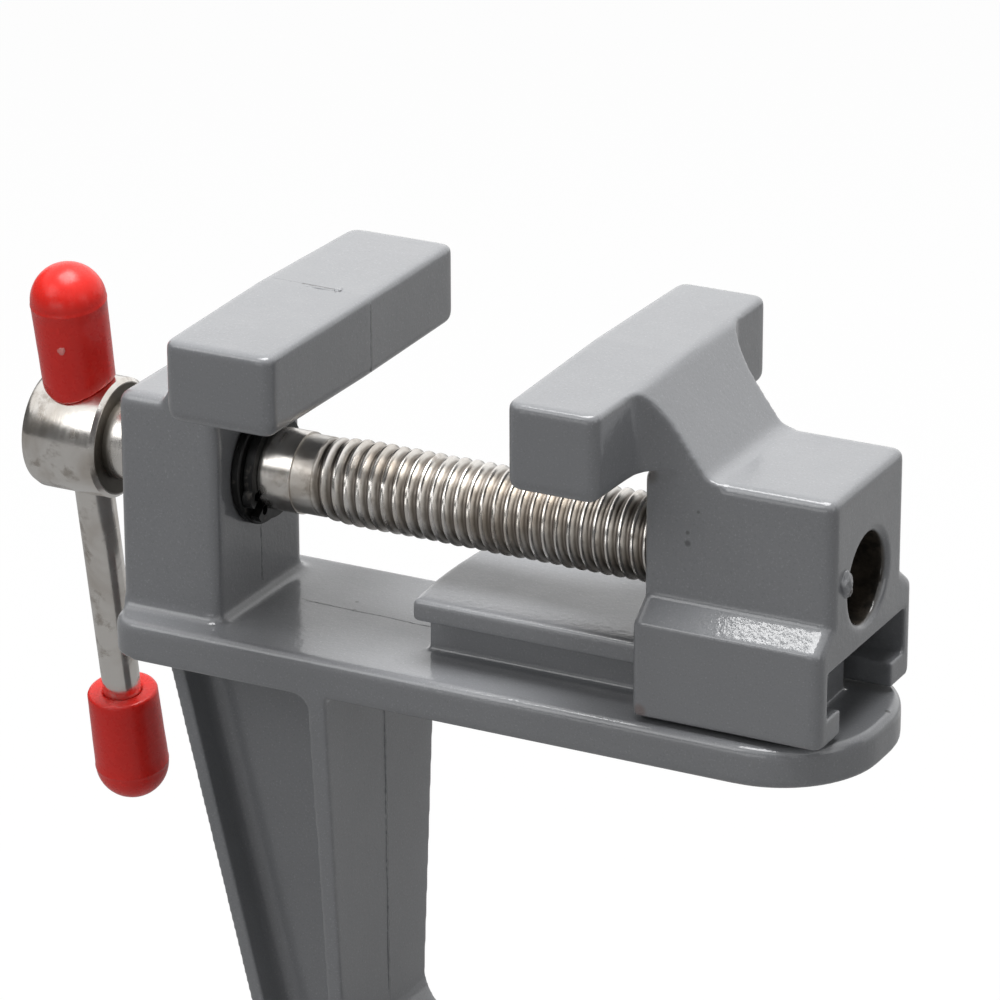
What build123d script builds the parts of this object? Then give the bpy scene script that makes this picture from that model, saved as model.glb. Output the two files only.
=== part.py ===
from build123d import *
from math import atan, cos, radians, sin, tan
import os

os.makedirs("parts", exist_ok=True)

# Small clamp-on bench vise. Millimetres, +Z up, +X from the fixed jaw to the moving jaw.
# The origin is the point where the axis of the clamp screw meets the table face, which is
# the underside of the deck. The XZ plane is the mid-plane of the casting.

# ---------------------------------------------------------------- main sizes
jaw_width = 35.0
jaw_opening = 23.0
deck_width = 22.0
deck_thickness = 3.8
jaw_top_z = 34.8
screw_over_rail = 7.0
clamp_axis_x = 0.0
clamp_axis_reach = 27.0
fixed_face_x = clamp_axis_x - clamp_axis_reach

# ---------------------------------------------------------------- jaw bars
clamp_face_recess = 0.25
jaw_top_drop = 0.16
jaw_corner_radius = 1.2
jaw_edge_radius = 0.6
jaw_bottom_radius = 1.1
fixed_bar_thickness = 11.4
fixed_bar_height = 7.8
fixed_back_recess = 0.3
moving_bar_thickness = 9.3
moving_bar_height = 8.3
moving_back_recess = 0.35
jaw_half = jaw_width / 2
moving_clamp_x = fixed_face_x + jaw_opening - 2 * clamp_face_recess
moving_back_x = moving_clamp_x + moving_bar_thickness
fixed_bar_bottom_z = jaw_top_z - fixed_bar_height
moving_bar_bottom_z = jaw_top_z - moving_bar_height

# ---------------------------------------------------------------- deck and column
deck_half = deck_width / 2
deck_left_reach = 21.8
deck_left_x = fixed_face_x - deck_left_reach
deck_right_reach = 51.4
deck_right_x = fixed_face_x + deck_right_reach
deck_left_radius = 2.8
deck_end_radius = 9.6
deck_top_round = 0.8
deck_bottom_round = 0.5
column_left_x = deck_left_x
column_face_setback = 11.5
column_right_x = fixed_face_x - column_face_setback
column_half = 8.0
column_top_step = 2.0
column_top_z = fixed_bar_bottom_z - column_top_step
column_corner_radius = 1.0
column_top_round = 1.1
column_foot_radius = 1.0
foot_sink = 0.2
foot_side_reach = 1.2
foot_front_reach = 3.0
foot_corner_radius = 2.2
fixed_buttress_foot_setback = 16.9
fixed_buttress_foot_x = fixed_face_x - fixed_buttress_foot_setback
fixed_buttress_head_setback = 12.2
fixed_buttress_head_x = fixed_face_x - fixed_buttress_head_setback
fixed_buttress_drop = 2.2
fixed_buttress_overlap = 3.0
fixed_buttress_toe_drop = 0.7
bar_sink = 0.5
fixed_buttress_head_z = jaw_top_z - fixed_buttress_drop

# ---------------------------------------------------------------- slide rail
rail_end_reach = 45.5
rail_end_x = fixed_face_x + rail_end_reach
rail_web_start = 8.3
rail_web_left_x = fixed_face_x + rail_web_start
rail_web_half = 4.2
web_sink = 0.3
rail_plate_half = 7.4
rail_plate_bottom_z = 7.8
rail_plate_top_z = 9.9
rail_corner_start = 8.2
rail_corner_x = fixed_face_x + rail_corner_start
rail_nose_start = 7.75
rail_nose_x = fixed_face_x + rail_nose_start
rail_edge_radius = 0.45
screw_axis_z = rail_plate_top_z + screw_over_rail

# ---------------------------------------------------------------- C-leg and lower arm
leg_outer_setback = 19.13
leg_outer_top_x = fixed_face_x - leg_outer_setback
leg_outer_slope = 0.241
leg_inner_reach = 1.0
leg_inner_x = fixed_face_x + leg_inner_reach
arm_flange_thickness = 2.0
outer_flange_thickness = 1.45
outer_flange_half = 5.3
inner_flange_thickness = 1.85
leg_web_half = 1.5
leg_pocket_radius = 1.5
leg_foot_half = 8.0
leg_taper_end_z = -38.0
arm_root_z = -39.2
arm_tip_z = -44.0
arm_bottom_z = -54.0
throat_radius = 5.0
heel_radius = 9.0
boss_radius = 8.0
boss_top_z = -42.0
boss_bottom_z = -56.0
boss_edge_radius = 0.9
pocket_end_wall = 1.5
pocket_end_x = clamp_axis_x - boss_radius - pocket_end_wall
leg_sink = 0.4
pocket_draft_shift = 0.4

# ---------------------------------------------------------------- threads
# Rings of the thread's own profile and pitch stand in for its helix.
thread_major_radius = 4.0
thread_pitch = 1.25
thread_depth = 0.68
thread_root_radius = thread_major_radius - thread_depth
ridge_crest_width = 0.16
ridge_root_width = 0.95
thread_tip_chamfer = 0.5
thread_fit = 0.08
threaded_bore_radius = thread_major_radius + thread_fit

# ---------------------------------------------------------------- main screw
head_radius = 5.7
head_left_setback = 34.0
head_left_x = fixed_face_x - head_left_setback
head_right_setback = 26.0
head_right_x = fixed_face_x - head_right_setback
head_rim_radius = 0.9
head_rim_step = 0.27
head_inner_rim_chamfer = 0.35
shank_radius = 3.85
shank_end_setback = 6.3
shank_end_x = fixed_face_x - shank_end_setback
collar_radius = 3.7
thread_start_setback = 4.2
thread_start_x = fixed_face_x - thread_start_setback
screw_end_reach = 44.5
screw_end_x = fixed_face_x + screw_end_reach
shank_clearance = 0.4
column_bore_radius = shank_radius + shank_clearance
bore_chamfer = 0.45

# ---------------------------------------------------------------- washer and retaining ring
washer_radius = 5.5
washer_thickness = 0.9
washer_gap = 0.06
washer_fit = 0.02
washer_bore_radius = shank_radius + washer_fit
washer_edge_radius = 0.2
ring_groove_radius = 3.4
ring_radius = 4.75
ring_thickness = 0.9
ring_gap_width = 1.4
ring_lug_radius = 1.15
lug_ring_shift = 0.1
ring_lug_hole_radius = 0.45
ring_side_gap = 0.05
ring_groove_play = 0.02
ring_lug_angle = 52.0
washer_left_x = column_right_x + washer_gap
ring_left_x = washer_left_x + washer_thickness + ring_side_gap

# ---------------------------------------------------------------- T-bars and caps
bar_radius = 1.85
bar_hole_clearance = 0.3
bar_hole_radius = bar_radius + bar_hole_clearance
bar_tilt = 10.0
bar_length = 53.55
bar_end_chamfer = 0.4
cap_length = 11.8
cap_rim_radius = 3.4
cap_dome_radius = 3.55
cap_bore_depth = 9.6
cap_lip_bevel = 0.3
cap_fit = 0.02
cap_wall_depth = cap_length - cap_bore_depth
bar_span = bar_length + 2 * cap_wall_depth
cap_stop_gap = 0.05
bar_mid_offset = bar_span / 2 - cap_length - head_radius - cap_stop_gap

# ---------------------------------------------------------------- moving jaw block
block_left_reach = 31.2
block_left_x = fixed_face_x + block_left_reach
block_right_reach = 49.4
block_right_x = fixed_face_x + block_right_reach
block_half = 7.8
block_top_z = moving_bar_bottom_z
block_corner_radius = 1.1
block_top_round = 0.8
shoulder_top_z = 15.0
shoulder_bottom_z = 13.2
jaw_flange_half = 10.2
jaw_flange_gap = 0.45
jaw_flange_bottom_z = deck_thickness + jaw_flange_gap
jaw_flange_chamfer_y = 0.8
jaw_flange_chamfer_z = 1.2
jaw_flange_front_chamfer = 0.3
slot_side_gap = 1.0
slot_top_gap = 1.1
lip_top_gap = 1.1
lip_tip_gap = 1.4
slot_half = rail_plate_half + slot_side_gap
slot_top_z = rail_plate_top_z + slot_top_gap
lip_top_z = rail_plate_bottom_z - lip_top_gap
lip_tip_half = rail_web_half + lip_tip_gap
buttress_flare_radius = 3.6
buttress_flare_margin = 0.3
buttress_flare_rise = 0.5
buttress_head_setback = 0.13
buttress_drop = 0.12
buttress_head_round = 1.2
buttress_foot_radius = 2.0
buttress_sink = 0.02
buttress_start = 0.3
buttress_foot_reach = 37.6
buttress_foot_x = fixed_face_x + buttress_foot_reach

# ---------------------------------------------------------------- clamp screw and pad
pad_top_z = -35.5
pad_radius = 7.5
pad_disc_thickness = 1.8
pad_hub_radius = 4.9
pad_bottom_z = -41.2
pad_recess_radius = 5.6
pad_recess_depth = 0.5
pad_rim_chamfer = 0.4
pad_hub_bevel = 0.9
pad_hub_bevel_height = 1.2
ball_radius = 2.2
ball_centre_z = -39.3
socket_clearance = 0.3
socket_mouth_radius = 1.9
tip_neck_radius = 1.6
clamp_thread_top_z = -42.3
clamp_neck_rise = 0.2
clamp_head_top_z = -93.5
clamp_collar_length = 2.0
clamp_collar_bevel = 0.8
clamp_head_length = head_right_x - head_left_x
clamp_bar_angle = 28.0


# ---------------------------------------------------------------- modelling allowances
# Cutters run past the faces that they cut by the overrun. An edge or corner that lies
# within the pick distance of a height, radius or place is the one that is meant.
overrun = 1.0
pick = 0.01
pick_band = 0.05


# ---------------------------------------------------------------- shared shapes
def jaw_bar(clamp_x, back_x, bottom_z, back_recess):
    """Cast jaw bar with draft from the mid-plane to both ends."""
    way = 1 if back_x > clamp_x else -1
    clamp_end_x = clamp_x + way * clamp_face_recess
    back_end_x = back_x - way * back_recess
    over = jaw_half + 1
    over_drop = jaw_top_drop * over / jaw_half
    with BuildPart() as bar:
        with BuildSketch(Plane.XY.offset(bottom_z)):
            with BuildLine():
                Polyline(
                    (clamp_x, 0),
                    (clamp_end_x, jaw_half),
                    (back_end_x, jaw_half),
                    (back_x, 0),
                    close=True,
                )
            make_face()
        extrude(amount=jaw_top_z - bottom_z)
        with BuildSketch(Plane.YZ.offset(min(clamp_x, back_x) - 1)):
            with BuildLine():
                Polyline(
                    (0, jaw_top_z),
                    (over, jaw_top_z - over_drop),
                    (over, bottom_z - 1),
                    (0, bottom_z - 1),
                    close=True,
                )
            make_face()
        extrude(amount=abs(back_x - clamp_x) + 2 * overrun, mode=Mode.INTERSECT)
        corners = bar.edges().filter_by(Axis.Z).filter_by(lambda e: e.center().Y > jaw_half - 1)
        fillet(corners, radius=jaw_corner_radius)
        low = bar.edges().filter_by(lambda e: e.center().Z < bottom_z + pick and e.center().Y > pick_band)
        fillet(low, radius=jaw_bottom_radius)
        high_z = jaw_top_z - jaw_top_drop - pick_band
        high = bar.edges().filter_by(lambda e: e.bounding_box().min.Z > high_z)
        fillet(high.filter_by(lambda e: e.center().Y > pick_band), radius=jaw_edge_radius)
        mirror(about=Plane.XZ)
    return bar.part


def thread_outline(start, end):
    """Points (along, radius) of a ringed thread outline, from start to its chamfered end."""
    way = 1 if end > start else -1
    turns = int((abs(end - start) - thread_tip_chamfer) / thread_pitch)
    points = []
    for turn in range(turns):
        middle = start + way * (turn + 1 / 2) * thread_pitch
        points.append((middle - way * ridge_root_width / 2, thread_root_radius))
        points.append((middle - way * ridge_crest_width / 2, thread_major_radius))
        points.append((middle + way * ridge_crest_width / 2, thread_major_radius))
        points.append((middle + way * ridge_root_width / 2, thread_root_radius))
    points.append((end - way * thread_tip_chamfer, thread_root_radius))
    points.append((end, thread_root_radius - thread_tip_chamfer))
    points.append((end, 0))
    return points


def cap_shape():
    """Moulded end cap along +Z, its open rim on the origin plane."""
    dome_start = cap_length - cap_dome_radius
    with BuildPart() as cap:
        with BuildSketch(Plane.XZ):
            with BuildLine():
                Line((bar_radius + cap_fit, 0), (cap_rim_radius - cap_lip_bevel, 0))
                Line((cap_rim_radius - cap_lip_bevel, 0), (cap_rim_radius, cap_lip_bevel))
                Line((cap_rim_radius, cap_lip_bevel), (cap_dome_radius, dome_start))
                ThreePointArc(
                    (cap_dome_radius, dome_start),
                    (cap_dome_radius * cos(radians(45)), dome_start + cap_dome_radius * sin(radians(45))),
                    (0, cap_length),
                )
                Line((0, cap_length), (0, cap_bore_depth))
                Line((0, cap_bore_depth), (bar_radius + cap_fit, cap_bore_depth))
                Line((bar_radius + cap_fit, cap_bore_depth), (bar_radius + cap_fit, 0))
            make_face()
        revolve(axis=Axis.Z)
    return cap.part


def rod_shape():
    """Plain T-bar rod centred on the origin, along Z."""
    with BuildPart() as rod:
        Cylinder(bar_radius, bar_length)
        chamfer(rod.edges(), length=bar_end_chamfer)
    return rod.part


# ---------------------------------------------------------------- C-leg with lower arm
leg_bottom_left_x = leg_outer_top_x - leg_outer_slope * arm_bottom_z
flange_run = outer_flange_thickness / cos(atan(leg_outer_slope))
pocket_top_left_x = leg_outer_top_x + flange_run
pocket_top_right_x = leg_inner_x - inner_flange_thickness
pocket_bottom_z = arm_bottom_z + arm_flange_thickness
pocket_bottom_left_x = pocket_top_left_x - leg_outer_slope * pocket_bottom_z
pocket_low_right_x = pocket_top_right_x + pocket_draft_shift
pocket_throat_radius = throat_radius + arm_flange_thickness
arm_right_x = clamp_axis_x
arm_slope = (arm_root_z - arm_tip_z) / (arm_right_x - leg_inner_x)
pocket_roof_root_z = arm_root_z - arm_flange_thickness
pocket_roof_tip_z = arm_tip_z - arm_flange_thickness + arm_slope * (arm_right_x - pocket_end_x)

with BuildPart() as leg:
    with BuildSketch(Plane.XZ) as leg_outline:
        with BuildLine():
            Polyline(
                (leg_outer_top_x - leg_outer_slope * leg_sink, leg_sink),
                (leg_bottom_left_x, arm_bottom_z),
                (arm_right_x, arm_bottom_z),
                (arm_right_x, arm_tip_z),
                (leg_inner_x, arm_root_z),
                (leg_inner_x, leg_sink),
                close=True,
            )
        make_face()
        fillet(leg_outline.vertices().sort_by_distance((leg_inner_x, arm_root_z))[0], radius=throat_radius)
        heel = leg_outline.vertices().sort_by_distance((leg_bottom_left_x, arm_bottom_z))[0]
        fillet(heel, radius=heel_radius)
    extrude(amount=deck_half, both=True)
    with BuildSketch(Plane.YZ.offset(deck_left_x)):
        with BuildLine():
            Polyline(
                (deck_half, leg_sink),
                (deck_half, 0),
                (leg_foot_half, leg_taper_end_z),
                (leg_foot_half, boss_bottom_z - overrun),
                (-leg_foot_half, boss_bottom_z - overrun),
                (-leg_foot_half, leg_taper_end_z),
                (-deck_half, 0),
                (-deck_half, leg_sink),
                close=True,
            )
        make_face()
    extrude(amount=deck_right_x - deck_left_x, mode=Mode.INTERSECT)

with BuildPart() as leg_pocket:
    with BuildSketch(Plane.XZ) as pocket_outline:
        with BuildLine():
            Polyline(
                (pocket_top_left_x, 0),
                (pocket_bottom_left_x, pocket_bottom_z),
                (pocket_end_x, pocket_bottom_z),
                (pocket_end_x, pocket_roof_tip_z),
                (pocket_low_right_x, pocket_roof_root_z),
                (pocket_top_right_x, 0),
                close=True,
            )
        make_face()
        throat = pocket_outline.vertices().sort_by_distance((pocket_low_right_x, pocket_roof_root_z))[0]
        fillet(throat, radius=pocket_throat_radius)
        low = pocket_outline.vertices().sort_by_distance((pocket_bottom_left_x, pocket_bottom_z))[0]
        fillet(low, radius=heel_radius - arm_flange_thickness)
        rest = pocket_outline.vertices().filter_by(
            lambda v: v.Y > -overrun or v.X > pocket_end_x - pick_band
        )
        fillet(rest, radius=leg_pocket_radius)
    extrude(amount=deck_width)
    floor = leg_pocket.faces().sort_by(Axis.Y)[-1].edges()
    fillet(floor, radius=leg_pocket_radius)

front_pocket = leg_pocket.part.moved(Location((0, -leg_web_half, 0)))
back_pocket = front_pocket.mirror(Plane.XZ)

# The outer flange is narrower than the inner one. The relief takes the rest of it away.
with BuildPart() as flange_relief:
    with BuildSketch(Plane.XZ) as relief_outline:
        with BuildLine():
            Polyline(
                (deck_left_x - overrun, 0),
                (deck_left_x - overrun, arm_bottom_z - overrun),
                (pocket_end_x, arm_bottom_z - overrun),
                (pocket_end_x, pocket_roof_tip_z),
                (pocket_low_right_x, pocket_roof_root_z),
                (pocket_top_right_x, 0),
                close=True,
            )
        make_face()
        throat = relief_outline.vertices().sort_by_distance((pocket_low_right_x, pocket_roof_root_z))[0]
        fillet(throat, radius=pocket_throat_radius)
        relief_top = relief_outline.vertices().sort_by_distance((pocket_top_right_x, 0))[0]
        relief_end = relief_outline.vertices().sort_by_distance((pocket_end_x, pocket_roof_tip_z))[0]
        fillet([relief_top, relief_end], radius=leg_pocket_radius)
    extrude(amount=deck_width)

front_relief = flange_relief.part.moved(Location((0, -outer_flange_half, 0)))
back_relief = front_relief.mirror(Plane.XZ)

# ---------------------------------------------------------------- fixed jaw bar
fixed_back_x = fixed_face_x - fixed_bar_thickness
fixed_bar = jaw_bar(fixed_face_x, fixed_back_x, fixed_bar_bottom_z, fixed_back_recess)

# ---------------------------------------------------------------- slide rail
with BuildPart() as rail:
    with BuildSketch(Plane.XY.offset(rail_plate_bottom_z)) as plate_outline:
        with BuildLine():
            ThreePointArc(
                (rail_corner_x, -rail_plate_half),
                (rail_nose_x, 0),
                (rail_corner_x, rail_plate_half),
            )
            Line((rail_corner_x, rail_plate_half), (rail_end_x, rail_plate_half))
            Line((rail_end_x, rail_plate_half), (rail_end_x, -rail_plate_half))
            Line((rail_end_x, -rail_plate_half), (rail_corner_x, -rail_plate_half))
        make_face()
        fillet(plate_outline.vertices(), radius=rail_edge_radius)
    extrude(amount=rail_plate_top_z - rail_plate_bottom_z)
    fillet(rail.faces().sort_by(Axis.Z)[-1].edges(), radius=rail_edge_radius)
    fillet(rail.faces().sort_by(Axis.Z)[0].edges(), radius=rail_edge_radius / 2)

# ---------------------------------------------------------------- foot of the column
with BuildPart() as column_foot:
    with BuildSketch(Plane.XY.offset(deck_thickness - 1)):
        with Locations((column_left_x, 0)):
            Rectangle(2 * deck_width, deck_width)
    extrude(amount=1)
    with BuildSketch(Plane.XY.offset(deck_thickness)) as stub_outline:
        with BuildLine():
            Polyline(
                (column_left_x - 2 * overrun, -column_half),
                (column_right_x, -column_half),
                (column_right_x, column_half),
                (column_left_x - 2 * overrun, column_half),
                close=True,
            )
        make_face()
        stub_corners = stub_outline.vertices().filter_by(lambda v: v.X > column_left_x)
        fillet(stub_corners, radius=column_corner_radius)
    extrude(amount=column_foot_radius + pick)
    root = column_foot.edges().filter_by(
        lambda e: abs(e.center().Z - deck_thickness) < pick and abs(e.center().Y) < column_half + pick_band
        and e.center().X < column_right_x + pick_band
        and e.center().X > column_left_x - 2 * overrun - pick_band
    )
    fillet(root, radius=column_foot_radius)
    with BuildSketch(Plane.XY.offset(deck_thickness - foot_sink)) as keep_outline:
        with BuildLine():
            Polyline(
                (column_left_x, -column_half - foot_side_reach),
                (column_right_x + foot_front_reach, -column_half - foot_side_reach),
                (column_right_x + foot_front_reach, column_half + foot_side_reach),
                (column_left_x, column_half + foot_side_reach),
                close=True,
            )
        make_face()
        left_corners = keep_outline.vertices().filter_by(lambda v: v.X < column_left_x + overrun)
        fillet(left_corners, radius=foot_corner_radius)
    extrude(amount=column_foot_radius + foot_sink, mode=Mode.INTERSECT)

# ---------------------------------------------------------------- frame casting
with BuildPart() as vise_frame:
    with BuildSketch(Plane.XY) as deck_outline:
        with BuildLine():
            Polyline(
                (deck_left_x, -deck_half),
                (deck_right_x, -deck_half),
                (deck_right_x, deck_half),
                (deck_left_x, deck_half),
                close=True,
            )
        make_face()
        fillet(deck_outline.vertices().filter_by(lambda v: v.X < deck_left_x + 1), radius=deck_left_radius)
        fillet(deck_outline.vertices().filter_by(lambda v: v.X > deck_right_x - 1), radius=deck_end_radius)
    extrude(amount=deck_thickness)
    fillet(vise_frame.faces().sort_by(Axis.Z)[-1].edges(), radius=deck_top_round)
    fillet(vise_frame.faces().sort_by(Axis.Z)[0].edges(), radius=deck_bottom_round)

    with BuildSketch(Plane.XY.offset(deck_thickness / 2)) as column_outline:
        with BuildLine():
            Polyline(
                (column_left_x, -column_half),
                (column_right_x, -column_half),
                (column_right_x, column_half),
                (column_left_x, column_half),
                close=True,
            )
        make_face()
        fillet(column_outline.vertices(), radius=column_corner_radius)
    extrude(amount=column_top_z - deck_thickness / 2)
    fillet(vise_frame.faces().sort_by(Axis.Z)[-1].edges(), radius=column_top_round)
    add(column_foot.part)

    with BuildSketch(Plane.XZ):
        with BuildLine():
            Polyline(
                (fixed_buttress_foot_x, column_top_z - 2 * overrun),
                (fixed_buttress_foot_x, column_top_z),
                (fixed_buttress_head_x, fixed_buttress_head_z),
                (fixed_buttress_head_x + fixed_buttress_overlap, fixed_buttress_head_z),
                (fixed_buttress_head_x + fixed_buttress_overlap, fixed_bar_bottom_z + bar_sink),
                (column_right_x, fixed_bar_bottom_z - fixed_buttress_toe_drop),
                (column_right_x, column_top_z - 2 * overrun),
                close=True,
            )
        make_face()
    extrude(amount=column_half, both=True)
    add(fixed_bar)
    with BuildSketch(Plane.YZ.offset(rail_web_left_x)):
        with BuildLine():
            Polyline(
                (-rail_web_half, deck_thickness / 2),
                (rail_web_half, deck_thickness / 2),
                (rail_web_half, rail_plate_bottom_z + web_sink),
                (-rail_web_half, rail_plate_bottom_z + web_sink),
                close=True,
            )
        make_face()
    extrude(amount=rail_end_x - rail_web_left_x)
    add(rail.part)
    add(leg.part)
    add(front_pocket, mode=Mode.SUBTRACT)
    add(back_pocket, mode=Mode.SUBTRACT)
    add(front_relief, mode=Mode.SUBTRACT)
    add(back_relief, mode=Mode.SUBTRACT)
    with BuildSketch(Plane.XY.offset(boss_bottom_z)):
        with Locations((clamp_axis_x, 0)):
            Circle(boss_radius)
    extrude(amount=boss_top_z - boss_bottom_z)
    boss_rims = vise_frame.edges().filter_by(GeomType.CIRCLE).filter_by(
        lambda e: abs(e.radius - boss_radius) < pick and e.is_closed
    )
    fillet(boss_rims, radius=boss_edge_radius)
    with BuildSketch(Plane.XY.offset(boss_bottom_z - overrun)):
        with Locations((clamp_axis_x, 0)):
            Circle(threaded_bore_radius)
    extrude(amount=boss_top_z - boss_bottom_z + 2 * overrun, mode=Mode.SUBTRACT)
    with BuildSketch(Plane.YZ.offset(column_left_x - overrun)):
        with Locations((0, screw_axis_z)):
            Circle(column_bore_radius)
    extrude(amount=column_right_x - column_left_x + 2 * overrun, mode=Mode.SUBTRACT)
    bore_rims = vise_frame.edges().filter_by(GeomType.CIRCLE).filter_by(
        lambda e: e.is_closed and (
            abs(e.radius - column_bore_radius) < pick or abs(e.radius - threaded_bore_radius) < pick
        )
    )
    chamfer(bore_rims, length=bore_chamfer)

vise_frame.part.label = "vise_frame"
export_step(vise_frame.part, "parts/vise_frame.step")

# ---------------------------------------------------------------- moving jaw
moving_bar = jaw_bar(moving_clamp_x, moving_back_x, moving_bar_bottom_z, moving_back_recess)

flare_half = block_half + buttress_flare_radius + buttress_flare_margin
flare_tip_x = moving_back_x - moving_back_recess * flare_half / jaw_half - buttress_sink
flare_root_x = moving_back_x - moving_back_recess * block_half / jaw_half - buttress_sink
buttress_slope = atan((jaw_top_z - buttress_drop - block_top_z) / (buttress_foot_x - moving_back_x))
buttress_end_x = buttress_foot_x + buttress_foot_radius * tan(buttress_slope / 2) + pick_band
flare_bottom_z = moving_bar_bottom_z + buttress_flare_rise

with BuildPart() as buttress:
    with BuildSketch(Plane.XY.offset(flare_bottom_z)) as flare_plan:
        with BuildLine():
            Polyline(
                (moving_back_x - 2 * overrun, -flare_half),
                (flare_tip_x, -flare_half),
                (flare_root_x, -block_half),
                (buttress_end_x, -block_half),
                (buttress_end_x, block_half),
                (flare_root_x, block_half),
                (flare_tip_x, flare_half),
                (moving_back_x - 2 * overrun, flare_half),
                close=True,
            )
        make_face()
        flare_roots = flare_plan.vertices().filter_by(lambda v: abs(v.X - flare_root_x) < pick)
        fillet(flare_roots, radius=buttress_flare_radius)
    extrude(amount=jaw_top_z - flare_bottom_z)
    with BuildSketch(Plane.XY.offset(block_top_z - overrun)) as foot_plan:
        with BuildLine():
            Polyline(
                (block_left_x + buttress_start, -block_half),
                (buttress_end_x, -block_half),
                (buttress_end_x, block_half),
                (block_left_x + buttress_start, block_half),
                close=True,
            )
        make_face()
        fillet(foot_plan.vertices().filter_by(lambda v: v.X < buttress_foot_x), radius=block_corner_radius)
    extrude(amount=flare_bottom_z - block_top_z + overrun)
    with BuildSketch(Plane.XZ) as slope_outline:
        with BuildLine():
            Polyline(
                (moving_back_x - 2 * overrun, block_top_z - overrun),
                (moving_back_x - 2 * overrun, jaw_top_z - buttress_drop),
                (moving_back_x - buttress_head_setback, jaw_top_z - buttress_drop),
                (buttress_foot_x, block_top_z),
                (buttress_end_x, block_top_z),
                (buttress_end_x, block_top_z - overrun),
                close=True,
            )
        make_face()
        slope_head = slope_outline.vertices().filter_by(
            lambda v: abs(v.X - moving_back_x + buttress_head_setback) < pick
        )
        fillet(slope_head, radius=buttress_head_round)
        slope_foot = slope_outline.vertices().filter_by(lambda v: abs(v.X - buttress_foot_x) < pick)
        fillet(slope_foot, radius=buttress_foot_radius)
    extrude(amount=deck_width, both=True, mode=Mode.INTERSECT)

with BuildPart() as jaw_block:
    with BuildSketch(Plane.YZ.offset(block_left_x)):
        with BuildLine():
            Polyline(
                (block_half, block_top_z),
                (block_half, shoulder_top_z),
                (jaw_flange_half, shoulder_bottom_z),
                (jaw_flange_half, jaw_flange_bottom_z + jaw_flange_chamfer_z),
                (jaw_flange_half - jaw_flange_chamfer_y, jaw_flange_bottom_z),
                (lip_tip_half, jaw_flange_bottom_z),
                (lip_tip_half, lip_top_z),
                (slot_half, lip_top_z),
                (slot_half, slot_top_z),
                (-slot_half, slot_top_z),
                (-slot_half, lip_top_z),
                (-lip_tip_half, lip_top_z),
                (-lip_tip_half, jaw_flange_bottom_z),
                (jaw_flange_front_chamfer - jaw_flange_half, jaw_flange_bottom_z),
                (-jaw_flange_half, jaw_flange_bottom_z + jaw_flange_front_chamfer),
                (-jaw_flange_half, shoulder_bottom_z),
                (-block_half, shoulder_top_z),
                (-block_half, block_top_z),
                close=True,
            )
        make_face()
    extrude(amount=block_right_x - block_left_x)
    top_edges = jaw_block.faces().sort_by(Axis.Z)[-1].edges()
    upper_end = jaw_block.edges().filter_by(Axis.Z).filter_by(
        lambda e: abs(abs(e.center().Y) - block_half) < pick
    )
    lower_end = jaw_block.edges().filter_by(Axis.Z).filter_by(
        lambda e: abs(abs(e.center().Y) - jaw_flange_half) < pick
    )
    sloping = jaw_block.edges().filter_by(
        lambda e: abs(e.center().Z - (shoulder_top_z + shoulder_bottom_z) / 2) < pick_band
    )
    fillet(upper_end + lower_end + sloping, radius=block_corner_radius)
    fillet(jaw_block.faces().sort_by(Axis.Z)[-1].edges(), radius=block_top_round)

with BuildPart() as moving_jaw:
    add(jaw_block.part)
    add(moving_bar)
    add(buttress.part)
    with BuildSketch(Plane.YZ.offset(moving_clamp_x - overrun)):
        with Locations((0, screw_axis_z)):
            Circle(threaded_bore_radius)
    extrude(amount=block_right_x - moving_clamp_x + 2 * overrun, mode=Mode.SUBTRACT)
    jaw_rims = moving_jaw.edges().filter_by(GeomType.CIRCLE).filter_by(
        lambda e: e.is_closed and abs(e.radius - threaded_bore_radius) < pick
    )
    chamfer(jaw_rims, length=bore_chamfer)

moving_jaw.part.label = "moving_jaw"
export_step(moving_jaw.part, "parts/moving_jaw.step")

# ---------------------------------------------------------------- main screw
screw_plane = Plane(origin=(0, 0, screw_axis_z), x_dir=(1, 0, 0), z_dir=(0, -1, 0))
screw_axis = Axis((0, 0, screw_axis_z), (1, 0, 0))
groove_floor = ring_groove_radius - ring_groove_play
groove_left_x = ring_left_x - ring_side_gap
groove_right_x = ring_left_x + ring_thickness + ring_side_gap

with BuildPart() as main_screw:
    with BuildSketch(screw_plane):
        with BuildLine():
            Polyline(
                (head_left_x, 0),
                (head_left_x, head_radius - head_rim_radius),
                (head_left_x + head_rim_step, head_radius - head_rim_step),
                (head_left_x + head_rim_radius, head_radius),
                (head_right_x - head_inner_rim_chamfer, head_radius),
                (head_right_x, head_radius - head_inner_rim_chamfer),
                (head_right_x, shank_radius),
                (groove_left_x, shank_radius),
                (groove_left_x, groove_floor),
                (groove_right_x, groove_floor),
                (groove_right_x, shank_radius),
                (shank_end_x, shank_radius),
                (shank_end_x, collar_radius),
                (thread_start_x, collar_radius),
                *thread_outline(thread_start_x, screw_end_x),
                close=True,
            )
        make_face()
    revolve(axis=screw_axis)
    hole_plane = Plane(
        origin=((head_left_x + head_right_x) / 2, 0, screw_axis_z),
        x_dir=(1, 0, 0),
        z_dir=(0, -sin(radians(bar_tilt)), cos(radians(bar_tilt))),
    )
    with BuildSketch(hole_plane):
        Circle(bar_hole_radius)
    extrude(amount=2 * head_radius, both=True, mode=Mode.SUBTRACT)

main_screw.part.label = "main_screw"
export_step(main_screw.part, "parts/main_screw.step")

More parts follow.
